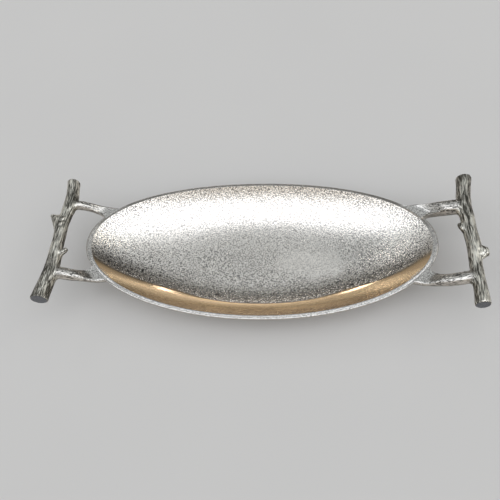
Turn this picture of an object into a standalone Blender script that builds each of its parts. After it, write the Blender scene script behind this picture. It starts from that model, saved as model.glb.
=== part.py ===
"""Oval serving dish, cast in aluminium, with a twig-shaped crossbar handle at each end.

X runs along the dish, Y across it and +Z is up. The pads stand on z = 0, under the dish's centre.
Each crossbar has two blind sockets, and each arm has a tenon that fills one of them.
"""
import math

import bmesh
import bpy
from mathutils import Vector

# ---------------------------------------------------------------- driving dimensions, in metres
GAP = 0.0003                  # clearance between pieces that touch

HALF_LENGTH = 0.2163          # outer edge of the rim
HALF_WIDTH = 0.0995
OUTLINE_POWER = 2.06          # 2 is a plain ellipse
RIM_Z = 0.040                 # top of the rim at the middle of each side
END_RISE = 0.013              # extra height of the rim at the two ends
LAND_AT_SIDES = 0.0048        # width of the flat rim land
LAND_AT_ENDS = 0.0070

# Section of the rim's rounded lip: (inset from the outer outline, drop below the rim's top).
LIP_SECTION = ((0.0016, 0.0001), (0.0005, 0.0007), (0.0, 0.0019), (0.0004, 0.0033), (0.0014, 0.0043))
RIM_FOOT_DROP = 0.0055        # where the outer wall meets the rim, below the rim's top

PAD_HEIGHT = 0.0020
PAD_RADIUS = 0.0055
PAD_CHAMFER = 0.0005
PAD_X = 0.060
PAD_Y = 0.022
BASE_Z = PAD_HEIGHT + GAP     # flat ground underside
FLOOR_THICKNESS = 0.0032
INSIDE_POWER = 3.6            # how flat the floor stays before the wall curves up
BASE_SHARE = 0.46             # share of the inner outline that the flat underside takes
OUTSIDE_POWER = 1.6
WALL_FLARE = 0.0020           # how far the outer wall stands outside the inner edge, at the top

BAR_Z = 0.0647                # axis height of the crossbars
# Section of a bar's rounded sawn end: (distance from the end, trim off the radius).
SAWN_END_SECTION = ((0.0, 0.0012), (0.0005, 0.0004), (0.0012, 0.0))
SOCKET_RADIUS = 0.0048
TENON_RADIUS = SOCKET_RADIUS - GAP
TENON_REACH = 0.0020          # how far a tenon passes the bar's axis
TENON_ROOT = 0.0150           # how far inboard of the bar's axis the tenon starts, inside the arm
ROOT_HEIGHT = 0.0100          # an arm's height where it meets the rim
ROOT_TOP_DROP = 0.0003        # top of the arm there, below the rim's top
ROOT_DEPTH = 0.0060           # how far an arm's middle and its edges reach inside the rim's outline,
ROOT_EDGE_DEPTH = 0.0006      # before it is cut to fit under the rim

# ---------------------------------------------------------------- mesh resolution
DISH_SEGMENTS = 80
INSIDE_STEPS = 10
OUTSIDE_STEPS = 8
BAR_SEGMENTS = 16
BAR_RINGS = 36
ARM_SEGMENTS = 20
ARM_RINGS = 12
ROUND_SEGMENTS = 20

# Crossbars: stations along the bar, each (y, x, radius), with the small bends and swellings of a twig.
LEFT_STATIONS = (
    (-0.0904, -0.2515, 0.0108), (-0.0700, -0.2484, 0.0099), (-0.0450, -0.2459, 0.0090),
    (-0.0200, -0.2462, 0.0079), (0.0100, -0.2469, 0.0077), (0.0350, -0.2448, 0.0077),
    (0.0520, -0.2432, 0.0086), (0.0680, -0.2448, 0.0080), (0.0838, -0.2470, 0.0085),
)
RIGHT_STATIONS = (
    (-0.0904, 0.2510, 0.0090), (-0.0680, 0.2514, 0.0076), (-0.0400, 0.2503, 0.0073),
    (-0.0150, 0.2520, 0.0082), (0.0050, 0.2503, 0.0083), (0.0270, 0.2496, 0.0085),
    (0.0500, 0.2484, 0.0087), (0.0690, 0.2512, 0.0090), (0.0850, 0.2534, 0.0097),
)
# Broken-off side shoots of each bar: (base point, tip point, base radius, tip radius). The points are in
# plan, at the bar's axis height.
SHOOTS = {
    "left_twig_bar": (
        ((-0.2450, 0.0190), (-0.2648, 0.0285), 0.0085, 0.0012),
        ((-0.2440, -0.0265), (-0.2325, -0.0240), 0.0042, 0.0030),
    ),
    "right_twig_bar": (
        ((0.2475, 0.0120), (0.2368, 0.0135), 0.0080, 0.0018),
        ((0.2535, -0.0250), (0.2668, -0.0238), 0.0064, 0.0043),
    ),
}
SHOOT_TILT = 0.0020           # rise of every shoot's tip

# Arms: signs of their side and end, centre line and radius at the bar, sweep round the corner of the finger
# opening, outward bow, where the outer edge leaves the rim, and how far it keeps to the rim's direction.
ARMS = {
    "left_rear_arm": dict(
        side=-1, end=1, centre_y=0.0468, radius=0.0061,
        corner=0.090, bow=0.000, root_x=0.172, root_sweep=0.050,
    ),
    "left_front_arm": dict(
        side=-1, end=-1, centre_y=0.0522, radius=0.0079,
        corner=0.070, bow=0.010, root_x=0.174, root_sweep=0.050,
    ),
    "right_rear_arm": dict(
        side=1, end=1, centre_y=0.0425, radius=0.0094,
        corner=0.085, bow=-0.015, root_x=0.158, root_sweep=0.095,
    ),
    "right_front_arm": dict(
        side=1, end=-1, centre_y=0.0530, radius=0.0078,
        corner=0.070, bow=0.025, root_x=0.176, root_sweep=0.050,
    ),
}
ROOT_INNER_X = 0.2080         # where its inner edge, in the finger opening, leaves the rim
ROOT_MIDDLE_SWEEP = 0.025
ARM_END_SWEEP = 0.080
ROOT_EDGE_POWER = 3           # how far towards its edges a root keeps its middle's depth and direction
ROOT_SQUARENESS = 4.0         # power of the root's section; 2 is an ellipse
ROUND_BY = 0.6                # share of the arm's length at which its section is round
CLIMB_POWER = 1.8             # how late an arm climbs from the rim to the bar

ALUMINIUM = (0.74, 0.73, 0.71)
TWIG_ALUMINIUM = (0.66, 0.64, 0.60)
PAD_GREY = (0.10, 0.10, 0.11)


# ---------------------------------------------------------------- helpers
def clear_scene():
    for item in list(bpy.data.objects):
        bpy.data.objects.remove(item, do_unlink=True)


def make_material(name, colour, roughness, metallic):
    material = bpy.data.materials.new(name)
    material.use_nodes = True
    shader = material.node_tree.nodes["Principled BSDF"]
    shader.inputs["Base Color"].default_value = (*colour, 1.0)
    shader.inputs["Roughness"].default_value = roughness
    shader.inputs["Metallic"].default_value = metallic
    return material


def add_object(name, points, faces, material, smooth_angle=40.0):
    mesh = bpy.data.meshes.new(name)
    mesh.from_pydata([tuple(p) for p in points], [], faces)
    shell = bmesh.new()
    shell.from_mesh(mesh)
    bmesh.ops.recalc_face_normals(shell, faces=shell.faces)
    shell.to_mesh(mesh)
    shell.free()
    mesh.materials.append(material)
    mesh.shade_smooth()
    mesh.set_sharp_from_angle(angle=math.radians(smooth_angle))
    thing = bpy.data.objects.new(name, mesh)
    bpy.context.scene.collection.objects.link(thing)
    return thing


def as_cutter(thing):
    thing.hide_render = True
    thing.display_type = "WIRE"
    return thing


def add_boolean(thing, operation, tool):
    modifier = thing.modifiers.new(f"{operation.lower()} {tool.name}", "BOOLEAN")
    modifier.operation = operation
    modifier.object = as_cutter(tool)


def loft(rings, closed_ends=True):
    """Join rings of equally many points into a tube, and return its points and faces."""
    count = len(rings[0])
    points = [point for ring in rings for point in ring]
    faces = []
    for row in range(len(rings) - 1):
        for i in range(count):
            j = (i + 1) % count
            faces.append((row * count + i, row * count + j, (row + 1) * count + j, (row + 1) * count + i))
    if closed_ends:
        faces.append(tuple(range(count))[::-1])
        faces.append(tuple(range((len(rings) - 1) * count, len(rings) * count)))
    return points, faces


def signed_power(value, power):
    return math.copysign(abs(value) ** power, value)


def mix(a, b, share):
    return a + (b - a) * share


def smooth_step(share):
    share = min(max(share, 0.0), 1.0)
    return share * share * (3.0 - 2.0 * share)


def circle_ring(centre, along, radius, segments):
    """Points round a circle whose axis is the direction along."""
    side = along.cross(Vector((0.0, 0.0, 1.0)))
    if side.length < 1e-6:
        side = Vector((1.0, 0.0, 0.0))
    side.normalize()
    up = side.cross(along).normalized()
    ring = []
    for i in range(segments):
        turn = 2.0 * math.pi * i / segments
        ring.append(centre + radius * (math.cos(turn) * side + math.sin(turn) * up))
    return ring


def add_cone(name, base, tip, base_radius, tip_radius, material):
    along = (tip - base).normalized()
    rings = [
        circle_ring(base, along, base_radius, ROUND_SEGMENTS),
        circle_ring(tip, along, tip_radius, ROUND_SEGMENTS),
    ]
    points, faces = loft(rings)
    return add_object(name, points, faces, material)


# ---------------------------------------------------------------- dish
def outline_point(angle, half_length, half_width):
    """A point of the oval outline, at a turn of angle from +X."""
    x = half_length * signed_power(math.cos(angle), 2.0 / OUTLINE_POWER)
    y = half_width * signed_power(math.sin(angle), 2.0 / OUTLINE_POWER)
    return x, y


def rim_height(x):
    return RIM_Z + END_RISE * (x / HALF_LENGTH) ** 2


def inside_ring(share):
    """The dish's inner surface where it is share of the way out to the inner edge."""
    floor_z = BASE_Z + FLOOR_THICKNESS
    ring = []
    for i in range(DISH_SEGMENTS):
        angle = 2.0 * math.pi * i / DISH_SEGMENTS
        x, y = outline_point(angle, HALF_LENGTH - LAND_AT_ENDS, HALF_WIDTH - LAND_AT_SIDES)
        z = floor_z + (rim_height(x) - floor_z) * share**INSIDE_POWER
        ring.append(Vector((x * share, y * share, z)))
    return ring


def outside_ring(share):
    """The dish's underside, from the edge of the flat base to the foot of the rim."""
    rise = max(share - BASE_SHARE, 0.0) / (1.0 - BASE_SHARE)
    flare = WALL_FLARE * rise
    ring = []
    for i in range(DISH_SEGMENTS):
        angle = 2.0 * math.pi * i / DISH_SEGMENTS
        x, y = outline_point(angle, HALF_LENGTH - LAND_AT_ENDS, HALF_WIDTH - LAND_AT_SIDES)
        foot_z = rim_height(x) - RIM_FOOT_DROP
        z = BASE_Z + (foot_z - BASE_Z) * rise**OUTSIDE_POWER
        stretch = 1.0 + flare / math.hypot(x, y)
        ring.append(Vector((x * share * stretch, y * share * stretch, z)))
    return ring


def rim_ring(inset, drop):
    """A line round the rim, at a distance inside its outer outline and below its top."""
    ring = []
    for i in range(DISH_SEGMENTS):
        angle = 2.0 * math.pi * i / DISH_SEGMENTS
        x, y = outline_point(angle, HALF_LENGTH - inset, HALF_WIDTH - inset)
        ring.append(Vector((x, y, rim_height(x) - drop)))
    return ring


def make_dish(material):
    rings = []
    for step in range(1, INSIDE_STEPS + 1):
        rings.append(inside_ring(math.sin(0.5 * math.pi * step / INSIDE_STEPS)))
    for inset, drop in LIP_SECTION:
        rings.append(rim_ring(inset, drop))
    for step in range(OUTSIDE_STEPS + 1):
        rings.append(outside_ring(mix(1.0, BASE_SHARE, step / OUTSIDE_STEPS)))
    points, faces = loft(rings, closed_ends=False)
    last = len(points) - DISH_SEGMENTS
    top = len(points)
    points += [Vector((0.0, 0.0, BASE_Z + FLOOR_THICKNESS)), Vector((0.0, 0.0, BASE_Z))]
    for i in range(DISH_SEGMENTS):
        j = (i + 1) % DISH_SEGMENTS
        faces.append((top, i, j))
        faces.append((top + 1, last + j, last + i))
    return add_object("dish", points, faces, material)


def make_dish_cope(material):
    """The dish's outer side grown by the gap and filled solid, for cutting the arms' roots to fit."""
    rings = [rim_ring(-GAP, -0.5 * ROOT_HEIGHT)]
    for inset, drop in LIP_SECTION[2:]:
        rings.append(rim_ring(inset - GAP, drop + GAP))
    for step in range(OUTSIDE_STEPS // 2):
        ring = outside_ring(mix(1.0, BASE_SHARE, step / OUTSIDE_STEPS))
        grow = GAP * math.sqrt(2.0)
        rings.append([point + Vector((*point.xy.normalized() * grow, -grow)) for point in ring])
    points, faces = loft(rings)
    return add_object("dish cope", points, faces, material)


# ---------------------------------------------------------------- crossbars
def station_value(stations, y, column):
    """A smooth value along the bar: cubic through the stations, with their own chord slopes."""
    last = len(stations) - 1
    span = 0
    while span < last - 1 and y > stations[span + 1][0]:
        span += 1
    y0, y1 = stations[span][0], stations[span + 1][0]
    v0, v1 = stations[span][column], stations[span + 1][column]

    def slope(k):
        low, high = max(k - 1, 0), min(k + 1, last)
        return (stations[high][column] - stations[low][column]) / (stations[high][0] - stations[low][0])

    t = (y - y0) / (y1 - y0)
    h = y1 - y0
    return (
        (2 * t**3 - 3 * t**2 + 1) * v0
        + (t**3 - 2 * t**2 + t) * h * slope(span)
        + (3 * t**2 - 2 * t**3) * v1
        + (t**3 - t**2) * h * slope(span + 1)
    )


def bar_rings(stations, growth):
    """Rings along a crossbar, rounded over at its two sawn ends."""
    start, end = stations[0][0], stations[-1][0]
    bevel = SAWN_END_SECTION[-1][0]
    places = [(start + inset, trim) for inset, trim in SAWN_END_SECTION]
    places += [(mix(start + bevel, end - bevel, k / BAR_RINGS), 0.0) for k in range(1, BAR_RINGS)]
    places += [(end - inset, trim) for inset, trim in reversed(SAWN_END_SECTION)]
    rings = []
    for y, trim in places:
        radius = station_value(stations, y, 2) - trim + growth
        centre = Vector((station_value(stations, y, 1), y, BAR_Z))
        rings.append(circle_ring(centre, Vector((0.0, 1.0, 0.0)), radius, BAR_SEGMENTS))
    return rings


def arm_specs_on(side):
    return [spec for spec in ARMS.values() if spec["side"] == side]


def tenon_line(spec, stations):
    """Points on the axis of an arm's tenon: inside the arm, and past the bar's axis."""
    y = spec["end"] * spec["centre_y"]
    bar_x = station_value(stations, y, 1)
    root = Vector((bar_x - spec["side"] * TENON_ROOT, y, BAR_Z))
    tip = Vector((bar_x + spec["side"] * TENON_REACH, y, BAR_Z))
    return root, tip


def make_bar(name, stations, side, material):
    points, faces = loft(bar_rings(stations, 0.0))
    bar = add_object(name, points, faces, material)
    for number, (base, tip, base_radius, tip_radius) in enumerate(SHOOTS[name]):
        shoot = add_cone(
            f"{name} shoot {number}",
            Vector((*base, BAR_Z)), Vector((*tip, BAR_Z + SHOOT_TILT)),
            base_radius, tip_radius, material,
        )
        add_boolean(bar, "UNION", shoot)
    for spec in arm_specs_on(side):
        root, tip = tenon_line(spec, stations)
        end = tip + Vector((side * GAP, 0.0, 0.0))
        socket = add_cone(f"{name} socket {spec['end']}", root, end, SOCKET_RADIUS, SOCKET_RADIUS, material)
        add_boolean(bar, "DIFFERENCE", socket)
    return bar


# ---------------------------------------------------------------- arms
def outline_angle(x):
    """The turn at which the outer outline reaches x."""
    return math.acos((x / HALF_LENGTH) ** (OUTLINE_POWER / 2.0))


def outline_frame(angle):
    """On the outer outline, in the +X +Y quarter: point, unit tangent towards +Y, unit outward normal."""
    step = 1e-4
    x, y = outline_point(angle, HALF_LENGTH + GAP, HALF_WIDTH + GAP)
    ahead = outline_point(angle + step, HALF_LENGTH + GAP, HALF_WIDTH + GAP)
    tangent = Vector((ahead[0] - x, ahead[1] - y)).normalized()
    return Vector((x, y)), tangent, Vector((tangent.y, -tangent.x))


def streamline(spec, across, bar_x, share):
    """Plan point of the arm, share of the way from rim to bar.

    It is at its edge in the finger opening where across is -1, and at its outer edge where across is 1.
    """
    inner, outer = outline_angle(ROOT_INNER_X), outline_angle(spec["root_x"])
    start, tangent, normal = outline_frame(mix(inner, outer, 0.5 + 0.5 * across))
    edge = abs(across) ** ROOT_EDGE_POWER
    start -= normal * mix(ROOT_DEPTH, ROOT_EDGE_DEPTH, edge)
    sweep = tangent * spec["corner"] if across < 0.0 else -tangent * spec["root_sweep"]
    start_slope = sweep * edge + normal * ROOT_MIDDLE_SWEEP * (1.0 - edge)
    end = Vector((abs(bar_x), spec["centre_y"] + across * spec["radius"]))
    end_slope = Vector((ARM_END_SWEEP, -spec["bow"]))
    t = share
    return (
        (2 * t**3 - 3 * t**2 + 1) * start
        + (t**3 - 2 * t**2 + t) * start_slope
        + (3 * t**2 - 2 * t**3) * end
        + (t**3 - t**2) * end_slope
    )


def arm_ring(spec, bar_x, share):
    """One section of an arm: a broad flat root along the rim at share 0, a round branch at share 1."""
    roundness = smooth_step(share / ROUND_BY)
    half_height = mix(0.5 * ROOT_HEIGHT, spec["radius"], roundness)
    power = mix(ROOT_SQUARENESS, 2.0, roundness)
    ring = []
    for i in range(ARM_SEGMENTS):
        turn = 2.0 * math.pi * i / ARM_SEGMENTS
        across = signed_power(math.cos(turn), 2.0 / power)
        above = signed_power(math.sin(turn), 2.0 / power)
        plan = streamline(spec, across, bar_x, share)
        root_z = rim_height(min(plan.x, HALF_LENGTH)) - ROOT_TOP_DROP - 0.5 * ROOT_HEIGHT
        middle_z = mix(root_z, BAR_Z, smooth_step(share) ** CLIMB_POWER)
        z = middle_z + above * half_height
        ring.append(Vector((spec["side"] * plan.x, spec["end"] * plan.y, z)))
    return ring


def make_arm(name, spec, stations, copes, material):
    bar_x = station_value(stations, spec["end"] * spec["centre_y"], 1)
    rings = [arm_ring(spec, bar_x, k / ARM_RINGS) for k in range(ARM_RINGS + 1)]
    points, faces = loft(rings)
    arm = add_object(name, points, faces, material)
    for cope in copes:
        add_boolean(arm, "DIFFERENCE", cope)
    root, tip = tenon_line(spec, stations)
    tenon = add_cone(f"{name} tenon", root, tip, TENON_RADIUS, TENON_RADIUS, material)
    add_boolean(arm, "UNION", tenon)
    return arm


# ---------------------------------------------------------------- pads
def make_pad(name, x, y, material):
    centre = Vector((x, y, 0.0))
    up = Vector((0.0, 0.0, 1.0))
    rings = []
    for height, radius in (
        (0.0, PAD_RADIUS - PAD_CHAMFER),
        (PAD_CHAMFER, PAD_RADIUS),
        (PAD_HEIGHT, PAD_RADIUS),
    ):
        rings.append(circle_ring(centre + up * height, up, radius, ROUND_SEGMENTS))
    points, faces = loft(rings)
    return add_object(name, points, faces, material)


def main():
    clear_scene()
    aluminium = make_material("polished cast aluminium", ALUMINIUM, 0.28, 1.0)
    twig = make_material("brushed cast aluminium", TWIG_ALUMINIUM, 0.42, 1.0)
    rubber = make_material("grey rubber", PAD_GREY, 0.7, 0.0)
    make_dish(aluminium)
    dish_cope = make_dish_cope(aluminium)
    for side, name, stations in ((-1, "left_twig_bar", LEFT_STATIONS), (1, "right_twig_bar", RIGHT_STATIONS)):
        make_bar(name, stations, side, twig)
        points, faces = loft(bar_rings(stations, GAP))
        cope = add_object(f"{name} cope", points, faces, twig)
        for arm_name, spec in ARMS.items():
            if spec["side"] == side:
                make_arm(arm_name, spec, stations, (cope, dish_cope), aluminium)
    for side, side_name in ((-1, "left"), (1, "right")):
        for end, end_name in ((-1, "front"), (1, "rear")):
            make_pad(f"{side_name}_{end_name}_pad", side * PAD_X, end * PAD_Y, rubber)


main()
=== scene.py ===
import math

import bpy
import numpy as np
from mathutils import Matrix, Vector


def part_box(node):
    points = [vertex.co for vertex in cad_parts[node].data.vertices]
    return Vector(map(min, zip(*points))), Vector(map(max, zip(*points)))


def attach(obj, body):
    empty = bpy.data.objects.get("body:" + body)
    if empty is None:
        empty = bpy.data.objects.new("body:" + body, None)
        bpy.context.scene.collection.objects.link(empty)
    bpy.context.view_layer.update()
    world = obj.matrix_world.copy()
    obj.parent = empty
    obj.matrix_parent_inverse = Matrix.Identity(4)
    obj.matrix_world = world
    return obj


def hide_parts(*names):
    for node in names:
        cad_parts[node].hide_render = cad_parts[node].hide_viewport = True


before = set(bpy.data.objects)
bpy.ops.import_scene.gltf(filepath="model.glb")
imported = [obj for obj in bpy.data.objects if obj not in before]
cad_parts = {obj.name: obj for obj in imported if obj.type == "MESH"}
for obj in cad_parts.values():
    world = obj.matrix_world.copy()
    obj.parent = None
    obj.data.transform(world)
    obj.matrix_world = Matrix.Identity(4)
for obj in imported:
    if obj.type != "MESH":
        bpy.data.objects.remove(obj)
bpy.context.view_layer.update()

# ---------------------------------------------------------------- sizes, in metres
MM = 0.001
OUTLINE_POWER = 2.06          # 2 is a plain ellipse
LAND_AT_SIDES = 4.8 * MM      # width of the rim's land, which falls a little toward its outer edge
LAND_AT_ENDS = 7.0 * MM
FLOOR_THICKNESS = 3.2 * MM
INSIDE_POWER = 3.6            # how flat the floor stays before the wall curves up
BASE_SHARE = 0.46             # share of the inner outline that the flat underside takes
OUTSIDE_POWER = 1.6
WALL_FLARE = 2.0 * MM
RIM_FOOT_DROP = 5.5 * MM
WEB_START = 170.0 * MM        # the webs meet the rim from this x to WEB_END
WEB_END = 207.0 * MM


# ---------------------------------------------------------------- numbers and meshes
def vertex_array(mesh, key="co"):
    """The places of a mesh's vertices, or another vector of theirs, as rows of three numbers."""
    values = np.empty(len(mesh.vertices) * 3)
    mesh.vertices.foreach_get(key, values)
    return values.reshape(-1, 3)


def signed_power(value, power):
    return np.sign(value) * np.abs(value) ** power


def smooth_step(share):
    share = np.clip(share, 0.0, 1.0)
    return share * share * (3.0 - 2.0 * share)


def smooth_between(value, low, high):
    """Smoothly from 0 at low to 1 at high; low may be the larger."""
    return smooth_step((value - low) / (high - low))


GRADIENT_COUNT = 4096
GRADIENTS = np.random.default_rng(7).normal(size=(GRADIENT_COUNT, 3))
GRADIENTS /= np.linalg.norm(GRADIENTS, axis=1, keepdims=True)
CELL_MIX = (73856093, 19349663, 83492791)    # large numbers that spread the cells over the gradients
SEED_MIX = 2654435
NOISE_GAIN = 1.6


def noise(points, seed=0):
    """Gradient noise of about -1 to 1 at points (n, 3), one feature to a unit."""
    cell = np.floor(points).astype(np.int64)
    inside = points - cell
    fade = inside**3 * (inside * (inside * 6.0 - 15.0) + 10.0)
    total = np.zeros(len(points))
    for corner in np.ndindex(2, 2, 2):
        spot = cell + corner
        mixed = spot * CELL_MIX
        key = mixed[:, 0] ^ mixed[:, 1] ^ mixed[:, 2] ^ seed * SEED_MIX
        slope = GRADIENTS[key % GRADIENT_COUNT]
        weight = np.prod(np.where(corner, fade, 1.0 - fade), axis=1)
        total += weight * np.einsum("ij,ij->i", slope, inside - corner)
    return total * NOISE_GAIN


def mesh_object(name, points, faces, **values):
    """A smooth-shaded object, with each of the values kept on its vertices for the materials."""
    mesh = bpy.data.meshes.new(name)
    mesh.from_pydata(points.tolist(), [], faces if isinstance(faces, list) else faces.tolist())
    mesh.validate()
    mesh.shade_smooth()
    for key, numbers in values.items():
        mesh.attributes.new(key, "FLOAT", "POINT").data.foreach_set("value", numbers)
    thing = bpy.data.objects.new(name, mesh)
    bpy.context.scene.collection.objects.link(thing)
    return thing


def ring_quads(rings, around):
    """Quads between each ring of points and the next, for that many rings with around points to each."""
    step = np.arange(around)
    ahead = (step + 1) % around
    faces = []
    for row in range(rings - 1):
        here, there = row * around, (row + 1) * around
        faces += np.stack([here + step, here + ahead, there + ahead, there + step], 1).tolist()
    return faces


def fans(rings, around):
    """Triangles that close the first and last ring onto the two points that follow all the rings."""
    step = np.arange(around)
    ahead = (step + 1) % around
    first = rings * around
    last = first - around
    faces = np.stack([np.full(around, first), ahead, step], 1).tolist()
    return faces + np.stack([np.full(around, first + 1), last + step, last + ahead], 1).tolist()


def place(thing, node, material):
    """Gives the thing its material and makes it stand for the CAD node."""
    thing.data.materials.append(material)
    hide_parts(node)
    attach(thing, "root")
    return thing


# ---------------------------------------------------------------- dish
dish_low, dish_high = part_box("dish")
HALF_LENGTH = dish_high.x
HALF_WIDTH = dish_high.y
dish_cad = vertex_array(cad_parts["dish"].data)
RIM_SIDE_Z = dish_cad[np.abs(dish_cad[:, 0]) < 10.0 * MM, 2].max()
END_RISE = dish_high.z - RIM_SIDE_Z
FLOOR_Z = dish_low.z + FLOOR_THICKNESS

AROUND = 400                  # points to a ring
INSIDE_RINGS = 98
OUTSIDE_RINGS = 30
BASE_RINGS = 8
# Section of the rim from the wall's top edge to its lip's lower edge:
# (share of the land's width from its inner edge, further inset in mm, drop below the rim's top in mm).
RIM_SECTION = (
    (0.0, -0.10, 0.10), (0.0, -0.45, 0.00), (0.0, -0.90, 0.04), (0.0, -1.35, 0.16), (0.0, -1.9, 0.24),
    (0.5, 0.2, 0.38),
    (1.0, 2.4, 0.56), (1.0, 1.9, 0.60), (1.0, 1.3, 0.74), (1.0, 0.75, 1.00), (1.0, 0.35, 1.35),
    (1.0, 0.05, 1.9), (1.0, 0.0, 2.5), (1.0, 0.3, 3.3), (1.0, 0.9, 4.1), (1.0, 1.6, 4.7),
)
SECTION_STEPS = 3
WEB_SEAT = 1.0                # drop of the land's outer edge under a web, in mm
WEB_TOP = 0.62 * MM           # the webs' top, below the rim's top
BAND_EDGE = 0.706             # share of the inner outline where the band rubbed smooth and painted gold as a reflection starts, in its middle
BAND_MIDDLE = 3.0 * MM        # x of its middle
BAND_HALF_LENGTH = 102.0 * MM # how far either way it keeps that share
BAND_EDGE_RISE = 0.26         # how much the share grows over the run after that
BAND_RUN = 96.0 * MM
WORN_MIDDLE = (0.068, -0.005) # x and y of the worn patch, and its half lengths
WORN_REACH = (0.046, 0.023)


def outline(half_length, half_width):
    turn = np.linspace(0.0, 2.0 * math.pi, AROUND, endpoint=False)
    x = half_length * signed_power(np.cos(turn), 2.0 / OUTLINE_POWER)
    y = half_width * signed_power(np.sin(turn), 2.0 / OUTLINE_POWER)
    return x, y


def rim_height(x):
    return RIM_SIDE_Z + END_RISE * (x / HALF_LENGTH) ** 2


def web_share(x):
    """1 where a web joins the rim, 0 elsewhere, by x."""
    x = np.abs(x)
    started = smooth_between(x, WEB_START, WEB_START + 8.0 * MM)
    return started * smooth_between(x, WEB_END + 2.0 * MM, WEB_END - 3.0 * MM)


def outline_share(points, half_length, half_width):
    """How far out each point lies in plan: 0 at the middle, 1 on the outline of that size."""
    lengthwise = np.abs(points[:, 0] / half_length) ** OUTLINE_POWER
    crosswise = np.abs(points[:, 1] / half_width) ** OUTLINE_POWER
    return (lengthwise + crosswise) ** (1.0 / OUTLINE_POWER)


def catmull_rom(knots, steps):
    """A smooth line through the knots, steps points to a span."""
    knots = np.asarray(knots, float)
    padded = np.vstack([2 * knots[0] - knots[1], knots, 2 * knots[-1] - knots[-2]])
    line = []
    for k in range(len(knots) - 1):
        a, b, c, d = padded[k:k + 4]
        for t in np.arange(steps) / steps:
            curve = (2 * a - 5 * b + 4 * c - d) * t**2 + (3 * b - a - 3 * c + d) * t**3
            line.append(0.5 * (2 * b + (c - a) * t + curve))
    return np.array(line + [knots[-1]])


def dish_rings():
    """Rings from the floor's middle up the inside, over the rim and down to the base's middle."""
    rings = []
    inner_x, inner_y = outline(HALF_LENGTH - LAND_AT_ENDS, HALF_WIDTH - LAND_AT_SIDES)
    for share in np.sin(0.5 * math.pi * np.linspace(0.0, 1.0, INSIDE_RINGS + 2)[1:-1]):
        z = FLOOR_Z + (rim_height(inner_x) - FLOOR_Z) * share**INSIDE_POWER
        rings.append(np.stack([inner_x * share, inner_y * share, z], 1))
    for across, inset, drop in catmull_rom(RIM_SECTION, SECTION_STEPS):
        x, y = outline(
            HALF_LENGTH - (1.0 - across) * LAND_AT_ENDS - inset * MM,
            HALF_WIDTH - (1.0 - across) * LAND_AT_SIDES - inset * MM,
        )
        sunk = drop + web_share(x) * across * np.maximum(WEB_SEAT - drop, 0.0)
        rings.append(np.stack([x, y, rim_height(x) - sunk * MM], 1))
    for share in np.linspace(1.0, BASE_SHARE, OUTSIDE_RINGS):
        rise = (share - BASE_SHARE) / (1.0 - BASE_SHARE)
        stretch = 1.0 + WALL_FLARE * rise / np.hypot(inner_x, inner_y)
        foot_z = rim_height(inner_x) - RIM_FOOT_DROP
        z = dish_low.z + (foot_z - dish_low.z) * rise**OUTSIDE_POWER
        rings.append(np.stack([inner_x * share * stretch, inner_y * share * stretch, z], 1))
    for share in np.linspace(BASE_SHARE, 0.0, BASE_RINGS + 2)[1:-1]:
        rings.append(np.stack([inner_x * share, inner_y * share, np.full(AROUND, dish_low.z)], 1))
    return rings


def dish_finish_and_painted_light(points):
    """Where the dish's front band is rubbed smooth and painted gold as a reflection, and the values that its
    material reads, all from 0 to 1.
    """
    inner_share = outline_share(points, HALF_LENGTH - LAND_AT_ENDS, HALF_WIDTH - LAND_AT_SIDES)
    inside = np.arange(len(points)) < INSIDE_RINGS * AROUND
    inside[-2] = True
    front = smooth_between(-points[:, 1], 9.0 * MM, 22.0 * MM)
    past = np.maximum(np.abs(points[:, 0] - BAND_MIDDLE) - BAND_HALF_LENGTH, 0.0)
    edge = BAND_EDGE + BAND_EDGE_RISE * (past / BAND_RUN) ** 1.2
    # painted reflection: the front band is smoothed and coloured gold, and the gold stands in for a
    # reflection
    smooth_band_and_painted_gold = smooth_between(inner_share, edge - 0.008, edge + 0.014) * front
    # a patch right of the middle is worn smooth
    patch = np.hypot(*((points[:, axis] - WORN_MIDDLE[axis]) / WORN_REACH[axis] for axis in (0, 1)))
    patch += 0.35 * noise(points / (14.0 * MM), 11)
    worn = smooth_between(patch, 1.3, 0.6)
    pebble = inside * (1.0 - smooth_band_and_painted_gold) * (1.0 - 0.6 * worn)
    # the dark dots, partly oxide and partly painted shade in the pits, are fewer on the far wall and denser
    # beside the band rubbed smooth
    far_wall = smooth_between(points[:, 1], 0.0, 26.0 * MM) * smooth_between(inner_share, 1.0, 0.85)
    near_band = smooth_between(inner_share - edge, -0.22, -0.03) * front
    dotted = pebble * (0.80 - 0.24 * far_wall + 0.20 * near_band)
    return smooth_band_and_painted_gold, {
        "pebble": pebble, "dotted": dotted, "painted_gold_reflection": inside * smooth_band_and_painted_gold,
        "worn": inside * worn, "land": 1.0 * ~inside,
    }


def make_dish(material):
    rings = dish_rings()
    points = np.vstack(rings + [[[0.0, 0.0, FLOOR_Z]], [[0.0, 0.0, dish_low.z]]])
    faces = ring_quads(len(rings), AROUND) + fans(len(rings), AROUND)
    smooth_band_and_painted_gold, finish_and_painted_light = dish_finish_and_painted_light(points)
    shell = mesh_object("dish_shell", points, [face[::-1] for face in faces], **finish_and_painted_light)
    points = vertex_array(shell.data)
    waves = 0.035 * MM * noise(points / (16.0 * MM), 3) + 0.012 * MM * noise(points / (6.0 * MM), 5)
    waves *= 1.0 - 0.8 * smooth_band_and_painted_gold
    points += vertex_array(shell.data, "normal") * waves[:, None]
    shell.data.vertices.foreach_set("co", points.ravel())
    return place(shell, "dish", material)


# ---------------------------------------------------------------- dense copies of the cast pieces
VOXEL = 0.45 * MM
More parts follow.
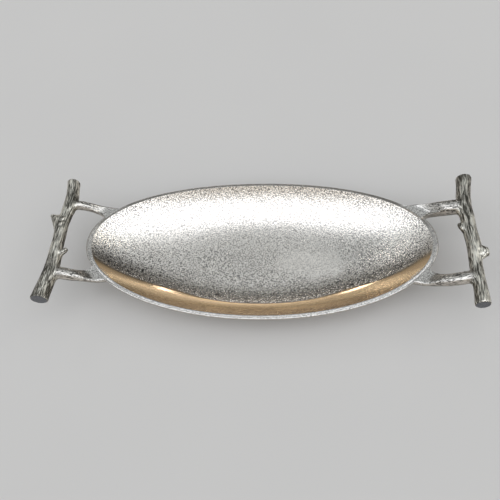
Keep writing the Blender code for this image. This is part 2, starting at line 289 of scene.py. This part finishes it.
# Smoothing rounds:
BAR_ROUNDS = 10               # all over a crossbar
ARM_ROUNDS = 8                # all over an arm
FILLET_ROUNDS = 130           # where an arm meets its crossbar, for a 5 mm fillet
SHOOT_ROUNDS = 16             # round the roots of the side shoots
END_ROUNDS = 14               # at the crossbars' sawn ends
ROOT_ROUNDS = 110             # where an arm spreads into its web
LEVEL_ROUNDS = 150            # where the web's top is brought level with the land


def welded(mesh):
    """A mesh's points and faces, with the copies of a point that a hard edge needs taken as one."""
    points, index = np.unique(vertex_array(mesh).round(7), axis=0, return_inverse=True)
    index = index.ravel()
    return points, [[int(index[corner]) for corner in polygon.vertices] for polygon in mesh.polygons]


def cone(base, tip, base_radius, tip_radius, count=24):
    """A closed cone frustum, as points and faces."""
    base, tip = Vector(base), Vector(tip)
    along = (tip - base).normalized()
    side = along.orthogonal().normalized()
    up = along.cross(side)
    points = []
    for centre, radius in ((base, base_radius), (tip, tip_radius)):
        for k in range(count):
            turn = 2.0 * math.pi * k / count
            points.append(centre + radius * (math.cos(turn) * side + math.sin(turn) * up))
    faces = [(k, (k + 1) % count, count + (k + 1) % count, count + k) for k in range(count)]
    faces += [tuple(range(count))[::-1], tuple(range(count, 2 * count))]
    return np.array(points), faces


def dense_copy(node, smoothing, extra=()):
    """The node's CAD shape, with extra closed shapes, as a fine even mesh of quads with rounded corners."""
    points, faces = welded(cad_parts[node].data)
    for more_points, more_faces in extra:
        faces += [[corner + len(points) for corner in face] for face in more_faces]
        points = np.vstack([points, more_points])
    rough = mesh_object(f"{node} rough", points, faces)
    remesh = rough.modifiers.new("even", "REMESH")
    remesh.mode = "VOXEL"
    remesh.voxel_size = VOXEL
    evaluated = rough.evaluated_get(bpy.context.evaluated_depsgraph_get())
    fine = evaluated.to_mesh()
    points = vertex_array(fine)
    sides = np.empty(len(fine.loops), dtype=np.int32)
    fine.loops.foreach_get("vertex_index", sides)
    sides = sides.reshape(-1, 4)
    evaluated.to_mesh_clear()
    bpy.data.objects.remove(rough, do_unlink=True)
    return relaxed(points, sides, smoothing), sides


def neighbour_mean(values, sides):
    tail = sides.ravel()
    head = np.roll(sides, -1, axis=1).ravel()
    count = len(values)
    degree = np.bincount(tail, minlength=count)
    return np.stack([np.bincount(tail, column[head], count) / degree for column in values.T], 1)


def relaxed(points, sides, rounds):
    for _ in range(rounds):
        points = 0.5 * (points + neighbour_mean(points, sides))
    return points


def filleted(points, sides, share, rounds):
    """The points smoothed again and again where share is 1, which rounds every crease there."""
    for _ in range(rounds):
        points = points + 0.5 * share[:, None] * (neighbour_mean(points, sides) - points)
    return points


def quad_normals(points, sides):
    corners = points[sides]
    flat = np.cross(corners[:, 2] - corners[:, 0], corners[:, 3] - corners[:, 1])
    normals = np.stack(
        [np.bincount(sides.ravel(), np.repeat(flat[:, axis], 4), len(points)) for axis in range(3)], 1
    )
    return normals / np.linalg.norm(normals, axis=1, keepdims=True)


def groove(value, width):
    """1 along the lines where value is 0, fading to 0 at about width from them."""
    return np.exp(-((value / width) ** 2))


# ---------------------------------------------------------------- crossbars
class BarLine:
    """A crossbar's axis, as the x of its trunk's crest and its radius at any y."""

    def __init__(self, node):
        low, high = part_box(node)
        points, _ = welded(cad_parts[node].data)
        self.z = 0.5 * (points[:, 2].max() + points[:, 2].min())
        self.low, self.high = low.y, high.y
        stops = np.linspace(low.y + 2.0 * MM, high.y - 2.0 * MM, 24)
        crests = []
        for stop in stops:
            near = points[np.abs(points[:, 1] - stop) < 4.0 * MM]
            crests.append(near[near[:, 2].argmax()])
        crests = np.array(crests)
        self.x_fit = np.polynomial.Polynomial.fit(crests[:, 1], crests[:, 0], 7)
        self.radius_fit = np.polynomial.Polynomial.fit(crests[:, 1], crests[:, 2] - self.z, 7)

    def around(self, points):
        """Turn round the axis, and distance from it, of each point."""
        side = points[:, 0] - self.x_fit(points[:, 1])
        above = points[:, 2] - self.z
        return np.arctan2(above, side), np.hypot(side, above)


def bark(turn, along, seed):
    """Height of the bark in mm: wavy ridges of two sizes on broad lumps, with narrow grooves."""
    turn = turn + 0.35 * noise(np.stack([along / (30.0 * MM), np.cos(turn), np.sin(turn)], 1), seed + 9)
    ring = np.stack([np.cos(turn), np.sin(turn)], 1)

    def pattern(count, length, number):
        """Noise with about count features round the bar, each about length mm long."""
        spots = np.column_stack([ring * count / (2.0 * math.pi), along / (length * MM)])
        return noise(spots, seed + number)

    ridges = pattern(28.0, 22.0, 0)
    fine = pattern(52.0, 9.0, 1)
    lumps = pattern(4.0, 20.0, 2)
    grooves = groove(pattern(17.0, 34.0, 3), 0.07)
    return 0.24 * ridges + 0.16 * fine + 0.36 * lumps - 0.34 * grooves


# Swellings at the roots of the side shoots, and the shoots' rounded tips:
# (base x, y, z from the axis), (tip x, y, z), base radius, tip radius, all in mm.
SWELLINGS = {
    "left_twig_bar": (
        ((-246.0, 5.0, 0.0), (-262.5, 26.5, 2.0), 8.2, 1.7),
        ((-246.0, 12.0, 1.0), (-263.5, 28.0, 2.0), 8.6, 1.7),
        ((-246.0, 19.0, 1.0), (-263.5, 28.5, 2.0), 8.2, 1.7),
        ((-248.0, 23.0, 1.0), (-262.5, 28.0, 2.0), 6.0, 1.7),
        ((-246.0, -30.0, 0.0), (-235.5, -25.0, 2.0), 7.4, 3.6),
        ((-237.0, -25.6, 1.5), (-231.0, -22.0, 3.0), 3.8, 2.6),
    ),
    "right_twig_bar": (
        ((250.5, 4.0, 0.0), (238.5, 12.5, 2.0), 8.0, 3.0),
        ((252.0, -20.0, 0.0), (262.5, -22.5, 2.0), 7.6, 5.4),
        ((252.5, -27.5, 0.0), (262.0, -25.0, 1.5), 7.6, 5.4),
        ((260.0, -23.8, 1.8), (265.6, -23.4, 2.2), 6.6, 5.4),
    ),
}


def make_bar(node, seed, material):
    """A crossbar with swollen shoot roots, bark all round and sawn ends."""
    line = BarLine(node)
    lift = np.array([0.0, 0.0, line.z / MM])
    swellings = [
        cone(MM * (lift + base), MM * (lift + tip), base_radius * MM, tip_radius * MM)
        for base, tip, base_radius, tip_radius in SWELLINGS[node]
    ]
    points, sides = dense_copy(node, BAR_ROUNDS, swellings)
    roots = MM * (lift + [base for base, *_ in SWELLINGS[node]])
    reach = np.min([np.linalg.norm(points - root, axis=1) for root in roots], axis=0)
    points = filleted(points, sides, smooth_between(reach, 22.0 * MM, 14.0 * MM), SHOOT_ROUNDS)
    from_end = np.minimum(points[:, 1] - line.low, line.high - points[:, 1])
    points = filleted(points, sides, smooth_between(from_end, 5.0 * MM, 2.0 * MM), END_ROUNDS)
    turn, _ = line.around(points)
    normals = quad_normals(points, sides)
    height = bark(turn, points[:, 1], seed)
    end_face = smooth_between(np.abs(normals[:, 1]), 0.80, 0.97) * (
        smooth_between(points[:, 1], line.low + 2.0 * MM, line.low)
        + smooth_between(points[:, 1], line.high - 2.0 * MM, line.high)
    )
    saw_marks = 0.16 * noise(points / (2.6 * MM), seed + 20)
    height = (1.0 - end_face) * height + end_face * saw_marks
    points = points + normals * (height * MM)[:, None]
    thing = mesh_object(
        node.replace("_bar", "_crossbar"), points, sides,
        height=height, barky=np.ones(len(points)), sawn=end_face,
    )
    return place(thing, node, material)


# ---------------------------------------------------------------- arms
def rim_slopes(points):
    """How fast the rim outline's share grows along x and along y at each point, up to a common factor."""
    return np.column_stack([
        np.sign(points[:, axis]) * np.abs(points[:, axis] / half) ** (OUTLINE_POWER - 1.0) / half
        for axis, half in ((0, HALF_LENGTH), (1, HALF_WIDTH))
    ])


def outside_rim(points):
    """Roughly how far each point lies outside the rim's outline, in plan."""
    share = outline_share(points, HALF_LENGTH, HALF_WIDTH)
    steepness = np.linalg.norm(rim_slopes(points), axis=1) * share ** (1.0 - OUTLINE_POWER)
    return (share - 1.0) / steepness


ROOT_REACH = 5.5 * MM         # how far an arm's root runs in under the rim
ROOT_EASE = 8.0 * MM          # over what width of web that is evened out
COLLAR_PROUD = 0.22 * MM      # how far the collar round the bar stands out
COLLAR_SINK = 1.5 * MM        # how deep its edges lie inside the bar
COLLAR_EDGE = 13.0 * MM       # how far the collar runs past the arm on each side


def collar(line, centre_y, half_width):
    """A closed length of the bar, a little proud of it at its middle and sunk into it at its ends."""
    reach = half_width + COLLAR_EDGE
    stops = np.arange(centre_y - reach, centre_y + reach, 1.2 * MM)
    stops = stops[(stops > line.low + 1.5 * MM) & (stops < line.high - 1.5 * MM)]
    sink = smooth_between(np.abs(stops - centre_y), half_width + 2.0 * MM, reach)
    radius = line.radius_fit(stops) + COLLAR_PROUD - (COLLAR_PROUD + COLLAR_SINK) * sink
    around = 60
    turn = np.linspace(0.0, 2.0 * math.pi, around, endpoint=False)
    points = np.concatenate([
        np.stack([line.x_fit(y) + r * np.cos(turn), np.full(around, y), line.z + r * np.sin(turn)], 1)
        for y, r in zip(stops, radius)
    ])
    step = np.arange(around)
    ahead = (step + 1) % around
    faces = []
    for row in range(len(stops) - 1):
        here, there = row * around, (row + 1) * around
        faces += np.stack([here + ahead, here + step, there + step, there + ahead], 1).tolist()
    last = (len(stops) - 1) * around
    return points, faces + [step.tolist(), (last + step)[::-1].tolist()]


def arm_on_bar(node, line):
    """The arm with a collar round its crossbar, and the crease between them worked into a fillet."""
    cad, _ = welded(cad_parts[node].data)
    _, bar_distance = line.around(cad)
    tip = cad[bar_distance < line.radius_fit(cad[:, 1]) + 3.0 * MM]
    centre_y = 0.5 * (tip[:, 1].min() + tip[:, 1].max())
    half_width = 0.5 * (tip[:, 1].max() - tip[:, 1].min())
    points, sides = dense_copy(node, ARM_ROUNDS, [collar(line, centre_y, half_width)])
    _, bar_distance = line.around(points)
    gap = bar_distance - line.radius_fit(points[:, 1])
    crease = smooth_between(np.abs(gap), 7.0 * MM, 3.0 * MM)
    crease *= smooth_between(np.abs(points[:, 1] - centre_y), half_width + 9.0 * MM, half_width + 5.0 * MM)
    return filleted(points, sides, crease, FILLET_ROUNDS), sides


def seated_on_rim(points, sides):
    """The arm's points with its web joined to the rim, and how far each lies outside the rim."""
    away = outside_rim(points)
    points = filleted(points, sides, smooth_between(away, 26.0 * MM, 12.0 * MM), ROOT_ROUNDS)
    # the root reaches in under the land, so that no seam shows
    outward = rim_slopes(points)
    outward /= np.linalg.norm(outward, axis=1, keepdims=True)
    pull = ROOT_REACH * (1.0 - smooth_between(away, 0.0, ROOT_EASE))
    points[:, :2] -= outward * pull[:, None]
    away = outside_rim(points)
    # close to the rim the web's top is level with the land, and dips under it further in
    normals = quad_normals(points, sides)
    near = smooth_between(away, 20.0 * MM, 4.0 * MM)
    level = rim_height(points[:, 0]) - WEB_TOP - 0.30 * MM * smooth_between(away, -2.0 * MM, -4.2 * MM)
    top = smooth_between(normals[:, 2], 0.30, 0.75) * (points[:, 2] > level - 3.5 * MM)
    points[:, 2] += near * top * (level - points[:, 2])
    eased = smooth_between(away, 0.5 * MM, 4.0 * MM) * smooth_between(away, 30.0 * MM, 20.0 * MM)
    return filleted(points, sides, eased, LEVEL_ROUNDS), away


def streaks(points, bends, seed):
    """Height in mm of the long shallow ridges and grooves that run along a branch and follow its bends."""
    side = points[:, 1] - bends[0](points[:, 0])
    above = points[:, 2] - bends[1](points[:, 0])
    spots = np.column_stack([points[:, 0] / 45.0, side / 3.2, above / 3.2]) / MM
    grooves = groove(noise(spots * 0.8, seed + 1), 0.06)
    return 0.10 * noise(spots, seed) + 0.045 * noise(spots * (2.5, 2.6, 2.6), seed + 2) - 0.24 * grooves


def make_arm(node, bar, seed, bar_seed, material):
    """A branch from the rim to its bar: cast web, streaked branch, and bark where it meets the bar."""
    line = BarLine(bar)
    points, sides = arm_on_bar(node, line)
    points, away = seated_on_rim(points, sides)
    turn, bar_distance = line.around(points)
    gap = bar_distance - line.radius_fit(points[:, 1])
    barky = smooth_between(gap, 4.5 * MM, 0.5 * MM)
    branch = smooth_between(away, 4.0 * MM, 12.0 * MM) * (1.0 - barky)
    middle = points[(away > 8.0 * MM) & (gap > 3.0 * MM)]
    bends = [np.polynomial.Polynomial.fit(middle[:, 0], middle[:, axis], 3) for axis in (1, 2)]
    cast = 0.05 * noise(points / (2.4 * MM), seed + 3)
    height = branch * streaks(points, bends, seed) + (1.0 - branch) * cast
    height += barky * bark(turn, points[:, 1], bar_seed)
    points = points + quad_normals(points, sides) * (height * MM)[:, None]
    web = smooth_between(away, 14.0 * MM, 5.0 * MM)
    name = node.replace("_arm", "_branch")
    thing = mesh_object(name, points, sides, height=height, barky=barky, web=web)
    return place(thing, node, material)


# ---------------------------------------------------------------- pads
# (share of the radius, share of the height) from the middle of the underside to the upper edge
PAD_SECTION = ((0.0, 0.06), (0.45, 0.02), (0.80, 0.0), (0.93, 0.06), (1.0, 0.30), (0.99, 0.7), (0.97, 1.0))
PAD_AROUND = 48


def make_pad(node, material):
    """A round rubber foot with a slightly domed underside and a rounded edge."""
    low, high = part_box(node)
    centre = 0.5 * (low + high)
    radius = 0.5 * (high.x - low.x)
    height = high.z - low.z
    turn = np.linspace(0.0, 2.0 * math.pi, PAD_AROUND, endpoint=False)
    rings = []
    for out, up in catmull_rom(PAD_SECTION, 4)[1:]:
        x = centre.x + radius * out * np.cos(turn)
        y = centre.y + radius * out * np.sin(turn)
        rings.append(np.stack([x, y, np.full(PAD_AROUND, low.z + height * up)], 1))
    under = (centre.x, centre.y, low.z + height * PAD_SECTION[0][1])
    points = np.vstack(rings + [[under], [(centre.x, centre.y, high.z)]])
    faces = ring_quads(len(rings), PAD_AROUND) + fans(len(rings), PAD_AROUND)
    thing = mesh_object(node.replace("_pad", "_foot"), points, faces)
    return place(thing, node, material)


# ---------------------------------------------------------------- materials
# Colours of the dish's inside: the metal and its faint clouds, the painted gold reflection on the band
# rubbed smooth, the dots of oxide and painted pit shade, the scratches.
POLISHED, POLISHED_CLOUD = (1.0, 0.93, 0.84), (1.0, 0.92, 0.82)
# painted reflection: the gold colour of the front band
PAINTED_GOLD_REFLECTION_COLOUR = (1.0, 0.74, 0.46)
# the dots' dark colour is partly oxide and partly painted shade in the pits
DOT_OXIDE_AND_PAINTED_SHADE = (0.085, 0.078, 0.068)
SCRATCH = (0.25, 0.23, 0.20)
# Colours of the cast surfaces, light and dark: the land and webs, with a lighter copy for the webs as a
# painted highlight, the branches, the bark, whose dark is also painted shade on down-facing surfaces, the
# sawn ends.
CAST_BRIGHT, CAST_DULL = (0.68, 0.635, 0.575), (0.34, 0.32, 0.29)
# painted highlight: the webs' lighter copy of the land's cast colour
WEB_PAINTED_HIGHLIGHT_COLOUR = (0.80, 0.755, 0.69)
CAST_SATIN, CAST_DARK = (0.72, 0.67, 0.60), (0.075, 0.069, 0.062)
BARK_BRIGHT, BARK_DARK_AND_PAINTED_SHADE = (1.0, 0.94, 0.81), (0.085, 0.078, 0.063)
SAWN_BRIGHT, SAWN_DARK = (0.25, 0.25, 0.26), (0.07, 0.078, 0.095)
RUBBER_PALE, RUBBER_DARK = (0.10, 0.10, 0.105), (0.06, 0.06, 0.065)
FLOOR_PALE, FLOOR_DARK = (0.63, 0.595, 0.55), (0.60, 0.567, 0.525)


class Nodes:
    """Short calls for building the node tree of one material or world."""

    def __init__(self, owner, shader="Principled BSDF"):
        owner.use_nodes = True
        self.owner = owner
        self.tree = owner.node_tree
        self.shader = self.tree.nodes[shader]

    def add(self, kind, **settings):
        node = self.tree.nodes.new(kind)
        for key, value in settings.items():
            setattr(node, key, value)
        return node

    def link(self, source, target):
        self.tree.links.new(source, target)

    def value(self, socket, value):
        """Links the value to the socket, or sets it there if it is a plain number or colour."""
        if isinstance(value, bpy.types.NodeSocket):
            self.link(value, socket)
        else:
            socket.default_value = value

    def position(self, scale=(1.0, 1.0, 1.0)):
        """The place on the object in metres; a scale under 1 stretches a texture along that axis."""
        mapping = self.add("ShaderNodeMapping")
        mapping.inputs["Scale"].default_value = scale
        self.link(self.add("ShaderNodeTexCoord").outputs["Object"], mapping.inputs["Vector"])
        return mapping.outputs["Vector"]

    def noise(self, vector, scale, detail=2.0, roughness=0.5, distortion=0.0):
        node = self.add("ShaderNodeTexNoise")
        self.link(vector, node.inputs["Vector"])
        node.inputs["Scale"].default_value = scale
        node.inputs["Detail"].default_value = detail
        node.inputs["Roughness"].default_value = roughness
        node.inputs["Distortion"].default_value = distortion
        return node.outputs["Fac"]

    def math(self, operation, first, second=0.0):
        node = self.add("ShaderNodeMath", operation=operation)
        self.value(node.inputs[0], first)
        self.value(node.inputs[1], second)
        return node.outputs[0]

    def swing(self, value, size):
        """How far the value lies above 0.5, times size."""
        return self.math("MULTIPLY", self.math("SUBTRACT", value, 0.5), size)

    def band(self, value, low, high, out_low=0.0, out_high=1.0):
        """Smoothly from out_low to out_high while the value goes from low to high."""
        node = self.add("ShaderNodeMapRange", interpolation_type="SMOOTHSTEP")
        self.link(value, node.inputs["Value"])
        numbers = {"From Min": low, "From Max": high, "To Min": out_low, "To Max": out_high}
        for key, number in numbers.items():
            node.inputs[key].default_value = number
        return node.outputs["Result"]

    def mix(self, share, first, second):
        """The first colour where share is 0, the second where it is 1."""
        node = self.add("ShaderNodeMix", data_type="RGBA")
        self.value(node.inputs["Factor"], share)
        for socket, colour in ((node.inputs[6], first), (node.inputs[7], second)):
            self.value(socket, colour if isinstance(colour, bpy.types.NodeSocket) else (*colour, 1.0))
        return node.outputs[2]

    def bump(self, height, distance):
        node = self.add("ShaderNodeBump")
        node.inputs["Strength"].default_value = 1.0
        node.inputs["Distance"].default_value = distance
        self.link(height, node.inputs["Height"])
        return node.outputs["Normal"]

    def split(self, vector):
        node = self.add("ShaderNodeSeparateXYZ")
        self.link(vector, node.inputs[0])
        return node.outputs

    def attribute(self, name):
        return self.add("ShaderNodeAttribute", attribute_name=name).outputs["Fac"]


def cast_speckle(nodes, bright):
    """Colour and relief of the cast land and webs, finely speckled by the mould."""
    speck = nodes.noise(nodes.position(), 880.0, 2.0, 0.6)
    return nodes.mix(nodes.band(speck, 0.38, 0.58), CAST_DULL, bright), speck


def dish_material():
    """Polished aluminium: pebbled floor with dots of oxide and painted pit shade, a band rubbed smooth and
    painted gold as a reflection, worn patch and cast land.
    """
    nodes = Nodes(bpy.data.materials.new("pebbled polished aluminium"))
    place_xyz = nodes.position()
    pebble, land = nodes.attribute("pebble"), nodes.attribute("land")
    cast_colour, speck = cast_speckle(nodes, CAST_BRIGHT)
    pebbles = nodes.noise(place_xyz, 760.0, 1.0, 0.5)
    relief = nodes.math("MULTIPLY", pebbles, nodes.band(pebble, 0.0, 1.0, 0.04, 1.0))
    relief = nodes.math("ADD", relief, nodes.math("MULTIPLY", speck, nodes.math("MULTIPLY", land, 0.5)))
    nodes.link(nodes.bump(relief, 0.00034), nodes.shader.inputs["Normal"])
    cloudy = nodes.noise(place_xyz, 60.0, 3.0)
    # painted reflection: the front band's gold colour
    colour = nodes.mix(nodes.attribute("painted_gold_reflection"), nodes.mix(cloudy, POLISHED, POLISHED_CLOUD), PAINTED_GOLD_REFLECTION_COLOUR)
    # dark dots: partly oxide, partly painted shade in the pebbled surface's pits
    dots = nodes.noise(nodes.position((1.0, 1.0, 0.5)), 780.0, 1.0, 0.5)
    oxide_and_shade_dots = nodes.math("MULTIPLY", nodes.band(dots, 0.50, 0.43), nodes.attribute("dotted"))
    colour = nodes.mix(oxide_and_shade_dots, colour, DOT_OXIDE_AND_PAINTED_SHADE)
    lines = nodes.noise(nodes.position((0.45, 1.0, 1.0)), 170.0, 3.0, 0.6, 0.8)
    scratches = nodes.band(nodes.math("ABSOLUTE", nodes.math("SUBTRACT", lines, 0.5)), 0.012, 0.0)
    scratches = nodes.math("MULTIPLY", scratches, nodes.math("MULTIPLY", nodes.attribute("worn"), 0.7))
    colour = nodes.mix(scratches, colour, SCRATCH)
    nodes.link(nodes.mix(land, colour, cast_colour), nodes.shader.inputs["Base Color"])
    nodes.link(nodes.band(land, 0.0, 1.0, 0.13, 0.26), nodes.shader.inputs["Roughness"])
    nodes.shader.inputs["Metallic"].default_value = 1.0
    return nodes.owner


def branch_material():
    """Cast aluminium branches: bright and streaked, or dull bark where the barky value is 1; the webs get a
    painted highlight and down-facing surfaces painted shade.
    """
    nodes = Nodes(bpy.data.materials.new("cast branches"))
    barky, height, web = nodes.attribute("barky"), nodes.attribute("height"), nodes.attribute("web")
    # painted highlight: the webs take the lighter copy of the cast colour
    web_colour_painted_highlight, speck = cast_speckle(nodes, WEB_PAINTED_HIGHLIGHT_COLOUR)
    streak = nodes.noise(nodes.position((0.05, 1.0, 1.0)), 900.0, 2.0, 0.6)
    grain = nodes.noise(nodes.position((1.0, 0.09, 1.0)), 900.0, 2.5, 0.6)
    relief = nodes.mix(web, nodes.math("MULTIPLY", streak, 0.30), nodes.math("MULTIPLY", speck, 0.5))
    relief = nodes.mix(barky, relief, nodes.math("MULTIPLY", grain, 1.2))
    nodes.link(nodes.bump(relief, 0.00040), nodes.shader.inputs["Normal"])
    # hollows are dark and ridges bright, by the height of the mesh and the finest relief together
    bark_level = nodes.math("ADD", height, nodes.swing(grain, 2.6))
    bark_colour = nodes.mix(nodes.band(bark_level, -0.36, 0.54), BARK_DARK_AND_PAINTED_SHADE, BARK_BRIGHT)
    branch_level = nodes.math("ADD", height, nodes.swing(streak, 1.0))
    branch_colour = nodes.mix(nodes.band(branch_level, -0.24, 0.10), CAST_DARK, CAST_SATIN)
    colour = nodes.mix(barky, nodes.mix(web, branch_colour, web_colour_painted_highlight), bark_colour)
    # painted shade: surfaces that face down are darkened toward the bark's dark colour
    upward = nodes.split(nodes.add("ShaderNodeNewGeometry").outputs["Normal"])["Z"]
    colour = nodes.mix(nodes.band(upward, 0.20, -0.45, 0.0, 0.7), colour, BARK_DARK_AND_PAINTED_SHADE)
    sawn_colour = nodes.mix(nodes.noise(nodes.position(), 500.0, 3.0, 0.6), SAWN_DARK, SAWN_BRIGHT)
    colour = nodes.mix(nodes.attribute("sawn"), colour, sawn_colour)
    nodes.link(colour, nodes.shader.inputs["Base Color"])
    nodes.link(nodes.band(barky, 0.0, 1.0, 0.24, 0.31), nodes.shader.inputs["Roughness"])
    nodes.shader.inputs["Metallic"].default_value = 1.0
    return nodes.owner


def rubber_material():
    nodes = Nodes(bpy.data.materials.new("grey rubber"))
    colour = nodes.mix(nodes.noise(nodes.position(), 400.0), RUBBER_DARK, RUBBER_PALE)
    nodes.link(colour, nodes.shader.inputs["Base Color"])
    nodes.shader.inputs["Roughness"].default_value = 0.75
    return nodes.owner


def floor_material():
    nodes = Nodes(bpy.data.materials.new("pale studio floor"))
    colour = nodes.mix(nodes.noise(nodes.position(), 3.0), FLOOR_PALE, FLOOR_DARK)
    nodes.link(colour, nodes.shader.inputs["Base Color"])
    nodes.shader.inputs["Roughness"].default_value = 0.9
    nodes.shader.inputs["Specular IOR Level"].default_value = 0.1
    return nodes.owner


# ---------------------------------------------------------------- build
aluminium = dish_material()
branches = branch_material()
rubber = rubber_material()
make_dish(aluminium)
for seed, side in ((100, "left"), (200, "right")):
    bar = f"{side}_twig_bar"
    arms = (f"{side}_rear_arm", f"{side}_front_arm")
    for number, arm in enumerate(arms):
        make_arm(arm, bar, seed + 30 * (number + 1), seed, branches)
    make_bar(bar, seed, branches)
for pad in ("left_front_pad", "left_rear_pad", "right_front_pad", "right_rear_pad"):
    make_pad(pad, rubber)


# ---------------------------------------------------------------- floor, lights and camera
FLOOR_HALF = 20.0              # metres from the middle of the floor to its edges
CARD_DISTANCE = 6.0            # metres from a lamp to the spot it is aimed at
HORIZON = (0.30, 0.297, 0.29)
HORIZON_FADE = (0.09, 0.26)    # upward part of the direction where the horizon starts to fade and is gone
ROOM = (0.150, 0.148, 0.142)
SKY = (0.56, 0.60, 0.64)
SKY_TILTS = (-66, -50, 43, 59)
# Each: where it fades in, is full, starts to fade and is gone, in degrees of lean and of tilt; its colour.
SOFTBOXES = (
    ((-80, -60, 60, 80), (-88, -82, -55, -48), (0.62, 0.61, 0.59)),
    ((-64, -55, -46, -40), (-20, -8, 30, 46), (0.58, 0.615, 0.65)),
    ((-44, -39, -36, -31), (-20, -8, 18, 34), (0.98, 1.06, 1.13)),
    ((20, 32, 52, 66), (-20, -8, 12, 32), (1.12, 1.20, 1.27)),
    ((18, 24, 60, 80), (44, 54, 68, 84), (0.085, 0.085, 0.085)),
    ((-64, -50, 50, 64), (-55, -48, -14, 19), (1.58, 1.68, 1.84)),
    ((-36, -30, -17, -8), (-5, 7, 28, 42), (0.28, 0.31, 0.335)),
)
CAMERA_PLACE = (0.06299, -0.38232, 0.64802)
CAMERA_TURNS = (10.918, 57.758, -9.0996)      # azimuth from the front, elevation and roll, in degrees
CAMERA_LENS = 41.74            # millimetres, on a sensor 36 mm wide


def make_floor():
    points = FLOOR_HALF * np.array([(-1.0, -1.0, 0.0), (1.0, -1.0, 0.0), (1.0, 1.0, 0.0), (-1.0, 1.0, 0.0)])
    floor = mesh_object("floor", points, [(0, 1, 2, 3)])
    floor.data.materials.append(floor_material())


def add_card(name, direction, angles, radiance, colour, target):
    """A soft rectangular light seen from the target along direction.

    angles are its apparent width and depth in degrees; radiance is added to the sky behind it.
    """
    light = bpy.data.lights.new(name, "AREA")
    light.shape = "RECTANGLE"
    width, depth = (2.0 * CARD_DISTANCE * math.tan(math.radians(angle / 2.0)) for angle in angles)
    light.size = width
    light.size_y = depth
    light.energy = radiance * math.pi * light.size * light.size_y
    light.color = colour
    card = bpy.data.objects.new(name, light)
    back = Vector(direction).normalized()
    across = Vector((0.0, 1.0, 0.0)).cross(back).normalized()
    axes = Matrix((across, back.cross(across), back)).transposed()
    card.matrix_world = Matrix.Translation(Vector(target) + CARD_DISTANCE * back) @ axes.to_4x4()
    bpy.context.scene.collection.objects.link(card)


def make_world():
    """A dim room with a broad lit sky, soft boxes of light and two dark ones, above a plain grey horizon.

    The angles are from straight up, toward the right (lean) and toward the rear (tilt). A later box covers
    an earlier one.
    """
    world = bpy.data.worlds.new("soft studio")
    bpy.context.scene.world = world
    nodes = Nodes(world, "Background")
    direction = nodes.split(nodes.add("ShaderNodeTexCoord").outputs["Generated"])
    lean, tilt = (nodes.math("ARCTAN2", direction[axis], direction["Z"]) for axis in "XY")

    def between(angle, edges):
        start, full, end, gone = (math.radians(edge) for edge in edges)
        return nodes.math("MULTIPLY", nodes.band(angle, start, full), nodes.band(angle, gone, end))

    def box(lean_edges, tilt_edges):
        return nodes.math("MULTIPLY", between(lean, lean_edges), between(tilt, tilt_edges))

    colour = nodes.mix(between(tilt, SKY_TILTS), ROOM, SKY)
    for lean_edges, tilt_edges, shade in SOFTBOXES:
        colour = nodes.mix(box(lean_edges, tilt_edges), colour, shade)
    overhead = nodes.band(direction["Z"], *HORIZON_FADE)
    nodes.link(nodes.mix(overhead, HORIZON, colour), nodes.shader.inputs["Color"])


def make_lights():
    make_world()
    cool = (0.96, 0.98, 1.0)
    warm = (1.0, 0.95, 0.86)
    add_card("left rear lamp", (-0.50, 0.54, 0.68), (4.4, 4.4), 6.0, cool, (0.163, 0.0, 0.02))
    add_card("right rear lamp", (0.72, 0.31, 0.63), (5.0, 5.0), 7.0, warm, (-0.204, 0.011, 0.04))
    add_card("rear strip", (0.035, 0.977, 0.17), (0.9, 7.0), 10.0, cool, (-0.11, -0.054, 0.02))
    add_card("second rear strip", (-0.235, 0.95, 0.20), (1.0, 7.0), 10.0, cool, (0.133, -0.045, 0.02))


def make_camera():
    """A camera at the photo's viewing angle, which looks down from the front and a little from the right."""
    camera = bpy.data.objects.new("camera", bpy.data.cameras.new("camera"))
    bpy.context.scene.collection.objects.link(camera)
    azimuth, elevation, roll = (math.radians(turn) for turn in CAMERA_TURNS)
    level = Vector((math.sin(azimuth), -math.cos(azimuth), 0.0))
    back = level * math.cos(elevation) + Vector((0.0, 0.0, math.sin(elevation)))
    right = (-back).cross(Vector((0.0, 0.0, 1.0))).normalized()
    up = right.cross(-back)
    across = right * math.cos(roll) + up * math.sin(roll)
    above = up * math.cos(roll) - right * math.sin(roll)
    axes = Matrix((across, above, back)).transposed()
    camera.matrix_world = Matrix.Translation(CAMERA_PLACE) @ axes.to_4x4()
    camera.data.lens = CAMERA_LENS
    camera.data.sensor_width = 36.0
    bpy.context.scene.camera = camera


make_floor()
make_lights()
make_camera()
bpy.context.scene.view_settings.view_transform = "Standard"
